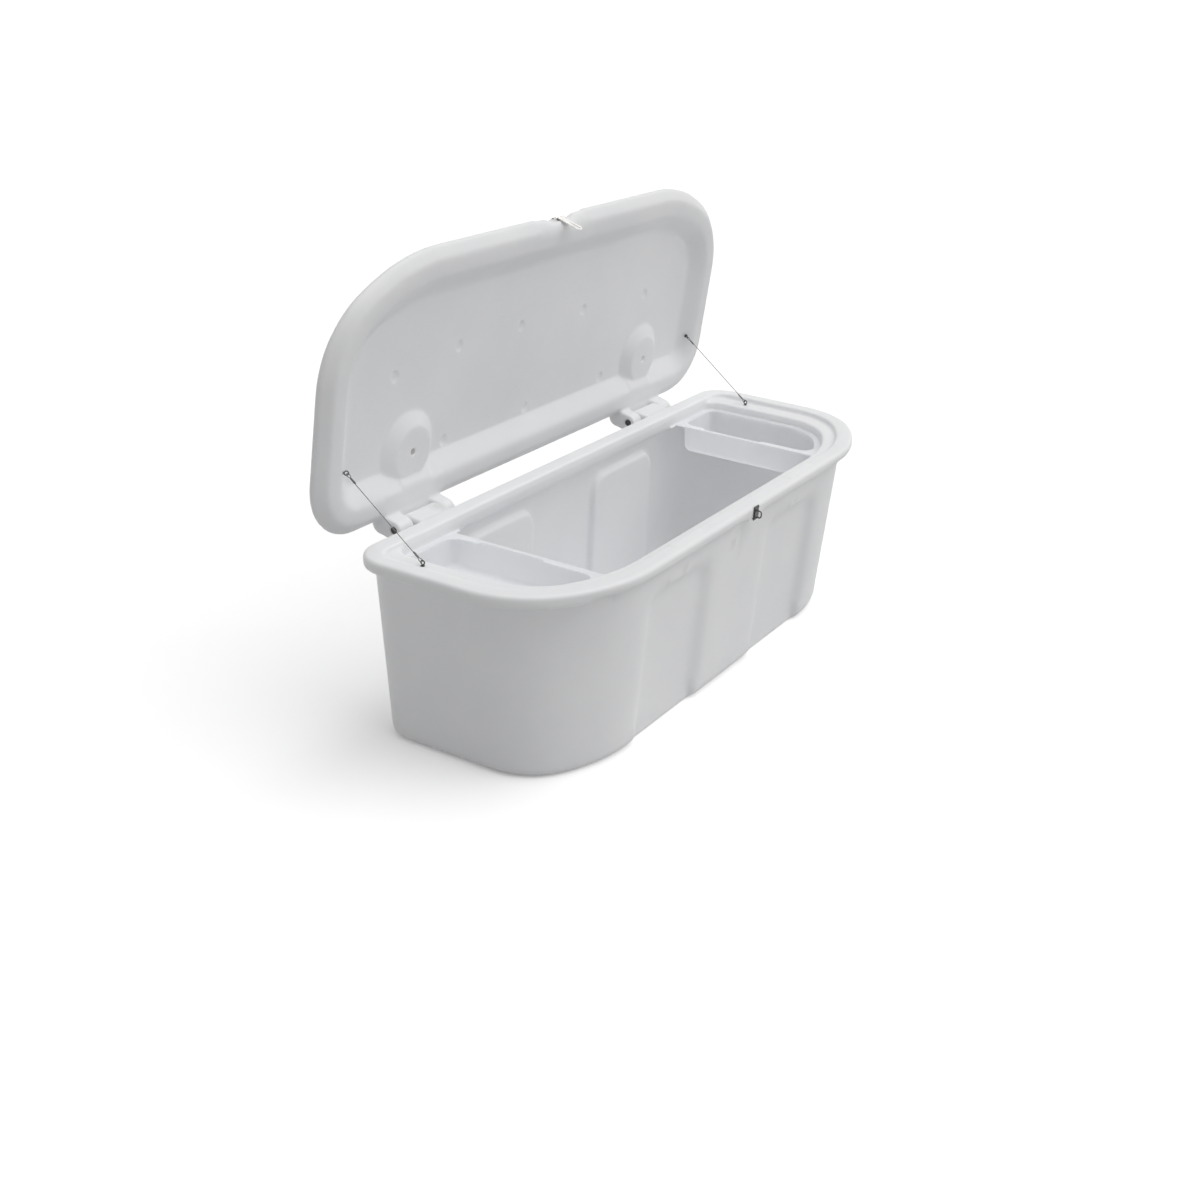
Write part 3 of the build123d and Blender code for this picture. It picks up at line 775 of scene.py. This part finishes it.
@dataclass(frozen=True)
class SoftShell:
    """A moulded body whose corners and ribs are rounded as the mould leaves them."""

    node: str
    cell: float
    softness: float
    zones: tuple[SoftZone, ...]
    triangles: int
    slot: str = "white_polyethylene"
    passes: int = 80
    more_passes: int = 0
    softest: float = 0.99
    hinge: Hinge | None = None

    @staticmethod
    def apply(shell: bpy.types.Object) -> None:
        """Replaces an object's mesh by the one its modifiers make, and drops them.

        Args:
            shell: The object.
        """
        seen = shell.evaluated_get(bpy.context.evaluated_depsgraph_get())
        made = bpy.data.meshes.new_from_object(seen)
        shell.modifiers.clear()
        shell.data = made

    def skin(self) -> bpy.types.Object:
        """Wraps the CAD node in an even net of small faces that lies on its surface.

        Returns:
            The new object.
        """
        cad = NODES[self.node]
        mesh = cad.data.copy()
        mesh.transform(cad.matrix_world)
        shell = bpy.data.objects.new(f"{self.node}_moulded", mesh)
        bpy.context.scene.collection.objects.link(shell)
        even = shell.modifiers.new("Even", "REMESH")
        even.mode = "VOXEL"
        even.voxel_size = self.cell
        hold = shell.modifiers.new("Hold", "SHRINKWRAP")
        hold.target = cad
        hold.wrap_method = "NEAREST_SURFACEPOINT"
        self.apply(shell)
        return shell

    def soften(self, shell: bpy.types.Object) -> None:
        """Rounds the shell's edges, by the softness of each zone.

        Args:
            shell: The object whose mesh is changed.
        """
        net = Net(shell.data)
        placed = self.hinge.shut(net.points) if self.hinge else net.points
        softness = np.full(len(net.points), self.softness)
        for zone in self.zones:
            softness = zone.blend_in(placed, softness)
        net.drift(softness, self.passes)
        chosen = np.flatnonzero(softness > self.softest)
        if len(chosen) and self.more_passes:
            net.settle(chosen, self.more_passes)
        net.write()

    def build(self, finishes: Finishes) -> bpy.types.Object:
        """Builds the shell in place of its CAD node.

        Args:
            finishes: The materials.

        Returns:
            The new piece.
        """
        shell = self.skin()
        self.soften(shell)
        thin = shell.modifiers.new("Thin", "DECIMATE")
        thin.ratio = min(1.0, self.triangles / (2.0 * len(shell.data.polygons)))
        self.apply(shell)
        shell.data.shade_smooth()
        finishes.dress(shell, Finish.SHELL)
        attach(shell, self.node)
        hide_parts(self.node)
        log.info("%s: %d faces", shell.name, len(shell.data.polygons))
        return shell


@dataclass(frozen=True)
class Tub(SoftShell):
    """The tub: wide soft panels in front, and crisp seats, pads and hinge barrels."""

    node: str = "tub"
    cell: float = 0.0034
    softness: float = 0.3
    zones: tuple[SoftZone, ...] = (
        # The front wall's foot, and its pressed-in panels.
        SoftZone((0.060, -0.340, 0.000), (0.900, -0.235, 0.050), 0.5, 0.02),
        SoftZone((0.060, -0.340, 0.050), (0.900, -0.235, 0.468), 1.0, 0.02),
        # The front wall's dimples.
        SoftZone((0.034, -0.340, 0.384), (0.066, -0.290, 0.416), 0.08, 0.004),
        SoftZone((0.290, -0.340, 0.366), (0.373, -0.290, 0.424), 0.08, 0.004),
        # The top of the rim, and the trays' seats.
        SoftZone((0.0, -0.330, 0.480), (0.880, 0.345, 0.502), 0.12, 0.004),
        SoftZone((0.500, -0.270, 0.440), (0.800, 0.260, 0.476), 0.08, 0.004),
        # The hinge barrels.
        SoftZone((0.470, 0.288, 0.440), (0.612, 0.345, 0.502), 0.06),
        # The seats of the staple and of the stays' eyes.
        SoftZone((0.0, -0.325, 0.445), (0.032, -0.290, 0.500), 0.0),
        SoftZone((0.790, 0.105, 0.470), (0.810, 0.130, 0.500), 0.0),
    )
    triangles: int = 190_000
    more_passes: int = 120


@dataclass(frozen=True)
class Lid(SoftShell):
    """The lid: a soft dish with crisp bosses, dimples and straps. Its zones are those of the shut lid."""

    node: str = "lid"
    cell: float = 0.0035
    softness: float = 0.2
    zones: tuple[SoftZone, ...] = (
        # The dish, and its flat ceiling with the dimples.
        SoftZone((0.0, -0.300, 0.503), (0.850, 0.262, 0.540), 0.36, 0.012),
        SoftZone((0.0, -0.190, 0.525), (0.745, 0.190, 0.540), 0.02, 0.01),
        # The bosses and straps, and the bosses' holes.
        SoftZone((0.440, 0.050, 0.500), (0.650, 0.262, 0.540), 0.07, 0.008),
        SoftZone((0.530, 0.138, 0.500), (0.562, 0.170, 0.540), 0.03, 0.006),
        # The bar above the hinges, and the hinge lobes.
        SoftZone((0.425, 0.262, 0.500), (0.670, 0.345, 0.545), 0.3, 0.008),
        SoftZone((0.425, 0.262, 0.440), (0.670, 0.345, 0.498), 0.1, 0.004),
        # The latch notch's ramps, and the seats of the hasp and of the stays' eyes.
        SoftZone((0.034, -0.350, 0.495), (0.105, -0.315, 0.560), 1.0, 0.01),
        SoftZone((0.0, -0.345, 0.495), (0.026, -0.325, 0.545), 0.0, 0.004),
        SoftZone((0.785, 0.100, 0.495), (0.815, 0.130, 0.530), 0.0),
    )
    triangles: int = 180_000
    hinge: Hinge | None = Hinge()


# ---------------------------------------------------------------- wire stays


class MeshMaker:
    """Collects points and faces and turns them into one smooth object."""

    def __init__(self) -> None:
        """Starts empty."""
        self.points: list[np.ndarray] = []
        self.faces: list[tuple[int, ...]] = []
        self.count = 0

    def loft(self, rings: np.ndarray) -> None:
        """Joins closed rings by quads and closes both ends.

        Args:
            rings: The rings' points, by ring, by place round the ring, by coordinate.
        """
        many, sides, _ = rings.shape
        at = self.count + np.arange(many * sides).reshape(many, sides)
        turned = np.roll(at, -1, axis=1)
        quads = np.stack([at[:-1], turned[:-1], turned[1:], at[1:]], axis=-1).reshape(-1, 4)
        self.faces += [tuple(quad) for quad in quads.tolist()]
        self.faces += [tuple(at[0][::-1].tolist()), tuple(at[-1].tolist())]
        self.points.append(rings.reshape(-1, 3))
        self.count += many * sides

    def finish(self, name: str) -> bpy.types.Object:
        """Makes the object.

        Args:
            name: Its name.

        Returns:
            The new object.
        """
        mesh = bpy.data.meshes.new(name)
        mesh.from_pydata(np.concatenate(self.points).tolist(), [], self.faces)
        mesh.shade_smooth()
        piece = bpy.data.objects.new(name, mesh)
        bpy.context.scene.collection.objects.link(piece)
        return piece


@dataclass(frozen=True)
class Ferrule:
    """An oval sleeve, crimped on the two wires below a loop."""

    from_ring: float = 0.0152
    length: float = 0.016
    half_wide: float = 0.0027
    half_thick: float = 0.0017
    crimps: int = 3
    crimp: float = 0.10
    bulge: float = 0.3
    end_pinch: float = 0.22
    end_fade: float = 0.025
    flatness: float = 0.85
    sides: int = 28
    stations: int = 49

    @property
    def far(self) -> float:
        """Where the sleeve ends, from the ring's centre."""
        return self.from_ring + self.length

    def build(self, name: str, ring: Vector, away: Vector, across: Vector) -> bpy.types.Object:
        """Builds the sleeve.

        Args:
            name: Its name.
            ring: The centre of the ring that the loop goes through.
            away: The direction from the ring to the stay's other end.
            across: The direction from one wire to the other.

        Returns:
            The new piece.
        """
        t = np.linspace(0.0, 1.0, self.stations)[:, None]
        turn = np.linspace(0.0, math.tau, self.sides, endpoint=False)[None, :]
        end = 1.0 - self.end_pinch * np.exp(-np.minimum(t, 1.0 - t) / self.end_fade)
        squeeze = self.crimp * np.cos(math.pi * (t * self.crimps - 0.5)) ** 4
        wide = self.half_wide * end * (1.0 + self.bulge * squeeze)
        thick = self.half_thick * end * (1.0 - squeeze)
        x = wide * np.sign(np.cos(turn)) * np.abs(np.cos(turn)) ** self.flatness
        y = thick * np.sign(np.sin(turn)) * np.abs(np.sin(turn)) ** self.flatness
        along = np.broadcast_to(self.from_ring + t * self.length, x.shape)
        normal = away.cross(across)
        middles = np.array(ring) + along[..., None] * np.array(away)
        maker = MeshMaker()
        maker.loft(middles + x[..., None] * np.array(across) + y[..., None] * np.array(normal))
        return maker.finish(name)


@dataclass(frozen=True)
class Stay:
    """A wire rope from an eye screw on the tub to one on the lid, with a crimped loop at each end."""

    side: Side
    half_apart: float = 0.800
    tub_ring: tuple[float, float] = (0.1175, 0.4925)
    lid_ring: tuple[float, float] = (0.332305, 0.656354)
    diameter: float = 0.002
    beside: float = 0.00106
    tail: float = 0.0014
    strands: int = 6
    lay_length: float = 0.0125
    step: float = 0.0011
    spline_order: int = 3
    spline_steps: int = 16
    loop: tuple[tuple[float, float], ...] = (
        (0.0128, 0.0022),
        (0.0100, 0.0042),
        (0.0066, 0.0053),
        (0.0040, 0.0048),
        (0.0024, 0.0030),
        (0.0016, 0.0),
    )
    ferrule: Ferrule = field(default_factory=Ferrule)

    def end_route(self, ring: Vector, away: Vector, across: Vector) -> list[Vector]:
        """Lists the wire's route at one end, from its tail round the loop to the straight run.

        Args:
            ring: The ring's centre.
            away: The direction to the stay's other end.
            across: The side on which the wire runs on.

        Returns:
            The points of the route.
        """
        half = [(self.ferrule.far, self.beside), (self.ferrule.from_ring, self.beside), *self.loop]
        tail = [(self.ferrule.far + self.tail, -self.beside)]
        back = [(along, -side) for along, side in half[1:-1]]
        return [ring + away * along + across * side for along, side in tail + back + half[::-1]]

    def centreline(self, points: list[Vector]) -> np.ndarray:
        """Reads the smooth line of a spline through the route, with even steps.

        Args:
            points: The route.

        Returns:
            The line's points.
        """
        curve = bpy.data.curves.new("StayRoute", "CURVE")
        curve.dimensions = "3D"
        spline = curve.splines.new("NURBS")
        spline.points.add(len(points) - 1)
        for place, point in zip(spline.points, points):
            place.co = (*point, 1.0)
        spline.order_u = self.spline_order
        spline.use_endpoint_u = True
        spline.resolution_u = self.spline_steps
        holder = bpy.data.objects.new("StayRoute", curve)
        mesh = bpy.data.meshes.new_from_object(holder)
        line = np.array([vertex.co for vertex in mesh.vertices], float)
        bpy.data.meshes.remove(mesh)
        bpy.data.curves.remove(curve)
        along = np.concatenate([[0.0], np.cumsum(np.linalg.norm(np.diff(line, axis=0), axis=1))])
        places = np.linspace(0.0, along[-1], math.ceil(along[-1] / self.step) + 1)
        return np.stack([np.interp(places, along, line[:, axis]) for axis in range(3)], axis=1)

    def rope(self, line: np.ndarray, level: Vector, name: str) -> bpy.types.Object:
        """Lays the strands round a core along the line. Each is a third of the rope thick.

        Args:
            line: The rope's centreline, in one plane.
            level: The normal of that plane.
            name: The rope's name.

        Returns:
            The new piece.
        """
        tangent = np.gradient(line, axis=0)
        tangent /= np.linalg.norm(tangent, axis=1)[:, None]
        first = np.broadcast_to(np.array(level), tangent.shape)
        second = np.cross(tangent, first)
        along = np.arange(len(line)) * self.step
        thick = self.diameter / 6.0
        turn = np.linspace(0.0, math.tau, self.strands, endpoint=False)
        cosine, sine = np.cos(turn)[None, :, None], np.sin(turn)[None, :, None]
        circle = thick * (cosine * first[:, None] + sine * second[:, None])
        maker = MeshMaker()
        maker.loft(line[:, None] + circle)
        for strand in range(self.strands):
            angle = math.tau * (along / self.lay_length + strand / self.strands)
            centre = line + 2.0 * thick * (np.cos(angle)[:, None] * first + np.sin(angle)[:, None] * second)
            maker.loft(centre[:, None] + circle)
        return maker.finish(name)

    def build(self, finishes: Finishes) -> bpy.types.Object:
        """Args:
            finishes: The materials.

        Returns:
            The wire.
        """
        x = self.side.value * self.half_apart
        rings = {Place.TUB: Vector((x, *self.tub_ring)), Place.LID: Vector((x, *self.lid_ring))}
        away = {Place.TUB: (rings[Place.LID] - rings[Place.TUB]).normalized()}
        away[Place.LID] = -away[Place.TUB]
        across = Vector((float(self.side.value), 0.0, 0.0))
        first = self.end_route(rings[Place.TUB], away[Place.TUB], across)
        last = self.end_route(rings[Place.LID], away[Place.LID], across)
        line = self.centreline(first + last[::-1])
        label = self.side.label
        wire = self.rope(line, away[Place.TUB].cross(across), f"stay_rope_{label}")
        finishes.dress(wire, Finish.WIRE)
        for place in Place:
            name = f"stay_sleeve_{place.value}_{label}"
            sleeve = self.ferrule.build(name, rings[place], away[place], across)
            finishes.dress(sleeve, Finish.FERRULE)
            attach(sleeve, place.value)
            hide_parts(f"stay_ferrule_{place.value}_{label}")
        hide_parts(f"stay_wire_{label}")
        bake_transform(wire)
        return wire


# ---------------------------------------------------------------- carried-over pieces


class CarriedPieces(Enum):
    """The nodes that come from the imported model: the words that start their names, and their finish."""

    SHELLS = ("tub", "lid"), Finish.SHELL
    TRAYS = ("tray_",), Finish.TRAY
    HINGE_PINS = ("hinge_pin_",), Finish.STEEL
    PIN_CAPS = ("pin_caps_",), Finish.CAP
    HASP_PLATES = ("hasp_base", "hasp_leaf"), Finish.STEEL
    HASP_FIXINGS = ("hasp_pin", "hasp_screws"), Finish.STAPLE
    STAPLE = ("staple_",), Finish.STAPLE
    STAY_EYES = ("stay_eye_",), Finish.EYE
    STAY_WIRES = ("stay_wire_",), Finish.WIRE
    STAY_FERRULES = ("stay_ferrule_",), Finish.FERRULE

    def build(self, finishes: Finishes) -> None:
        """Dresses these nodes, where they are.

        Args:
            finishes: The materials.
        """
        starts, finish = self.value
        names = [name for name in NODES if name.startswith(starts)]
        for name in names:
            finishes.dress(NODES[name], finish)
        log.info("%s: %s", finish.value.name, ", ".join(names))


# ---------------------------------------------------------------- studio


@dataclass(frozen=True)
class Studio:
    """The floor, the light and the camera."""

    floor_half: float = 60.0
    floor_drop: float = 0.0003
    floor_seen: float = 1.26
    floor_bounce: float = 0.5
    world_light: float = 0.36
    world_seen: float = 1.0
    key_strength: float = 1.74
    key_angle: float = 70.0
    key_from: Point = (0.28, -0.40, 1.0)
    camera_place: Point = (-3.537, -1.960, 1.921)
    camera_turn: Point = (65.9251, -3.2063, -59.8677)
    lens: float = 49.246
    sensor_width: float = 36.0
    shift: tuple[float, float] = (-0.03855, 0.00974)
    sight: float = 500.0

    @staticmethod
    def seen(g: Graph) -> Socket:
        """Tells the rays that see a surface from those that only bring its light.

        Args:
            g: The material's or world's graph.

        Returns:
            1 for a camera, glossy or transmission ray and 0 for any other.
        """
        path = g.add("ShaderNodeLightPath").outputs
        shiny = g.math("MAXIMUM", path["Is Glossy Ray"], path["Is Transmission Ray"])
        return g.math("MAXIMUM", path["Is Camera Ray"], shiny)

    def build_floor(self) -> None:
        """Lays the plain pale floor, a flat sheet that takes the object's shadow."""
        a = self.floor_half
        z = -self.floor_drop
        mesh = bpy.data.meshes.new("Floor")
        mesh.from_pydata([(-a, -a, z), (a, -a, z), (a, a, z), (-a, a, z)], [], [(0, 1, 2, 3)])
        floor = bpy.data.objects.new("Floor", mesh)
        bpy.context.scene.collection.objects.link(floor)
        material, g = new_material("PaleFloor")
        greys = ((tone, tone, tone, 1.0) for tone in (self.floor_bounce, self.floor_seen))
        bounce, shown = (g.add("ShaderNodeBsdfDiffuse", {"Color": grey}).outputs[0] for grey in greys)
        g.add("ShaderNodeOutputMaterial", {"Surface": g.blend(self.seen(g), bounce, shown)})
        mesh.materials.append(material)

    def build_world(self) -> None:
        """Makes the world: white where it is seen, and an even soft light elsewhere."""
        world = bpy.data.worlds.new("Studio")
        bpy.context.scene.world = world
        world.use_nodes = True
        g = Graph(world.node_tree)
        white = {"Color": (1.0, 1.0, 1.0, 1.0)}
        strengths = (self.world_light, self.world_seen)
        lit, shown = (g.add("ShaderNodeBackground", {**white, "Strength": s}).outputs[0] for s in strengths)
        g.add("ShaderNodeOutputWorld", {"Surface": g.blend(self.seen(g), lit, shown)})

    def build_key(self) -> None:
        """Hangs the wide overhead light."""
        lamp = bpy.data.lights.new("Key", "SUN")
        lamp.energy = self.key_strength
        lamp.angle = math.radians(self.key_angle)
        key = bpy.data.objects.new("Key", lamp)
        key.rotation_mode = "QUATERNION"
        key.rotation_quaternion = Vector(self.key_from).to_track_quat("Z", "Y")
        bpy.context.scene.collection.objects.link(key)

    def build_camera(self) -> None:
        """Sets up the camera that looks down at the box from the front left."""
        data = bpy.data.cameras.new("Camera")
        data.lens = self.lens
        data.sensor_width = self.sensor_width
        data.shift_x, data.shift_y = self.shift
        data.clip_end = self.sight
        camera = bpy.data.objects.new("Camera", data)
        camera.location = self.camera_place
        camera.rotation_euler = [math.radians(turn) for turn in self.camera_turn]
        bpy.context.scene.collection.objects.link(camera)
        bpy.context.scene.camera = camera

    def build(self) -> None:
        """Builds the whole studio."""
        self.build_floor()
        self.build_world()
        self.build_key()
        self.build_camera()
        bpy.context.scene.view_settings.view_transform = "Standard"
        log.info("studio: floor, world, key light and camera")


def main() -> None:
    """Builds and dresses every sub-assembly in order."""
    logging.basicConfig(level=logging.INFO, format="%(name)s: %(message)s")
    finishes = Finishes()
    Studio().build()
    Tub().build(finishes)
    Lid().build(finishes)
    for side in Side:
        Stay(side).build(finishes)
    for pieces in CarriedPieces:
        pieces.build(finishes)


if __name__ == "__main__":
    main()
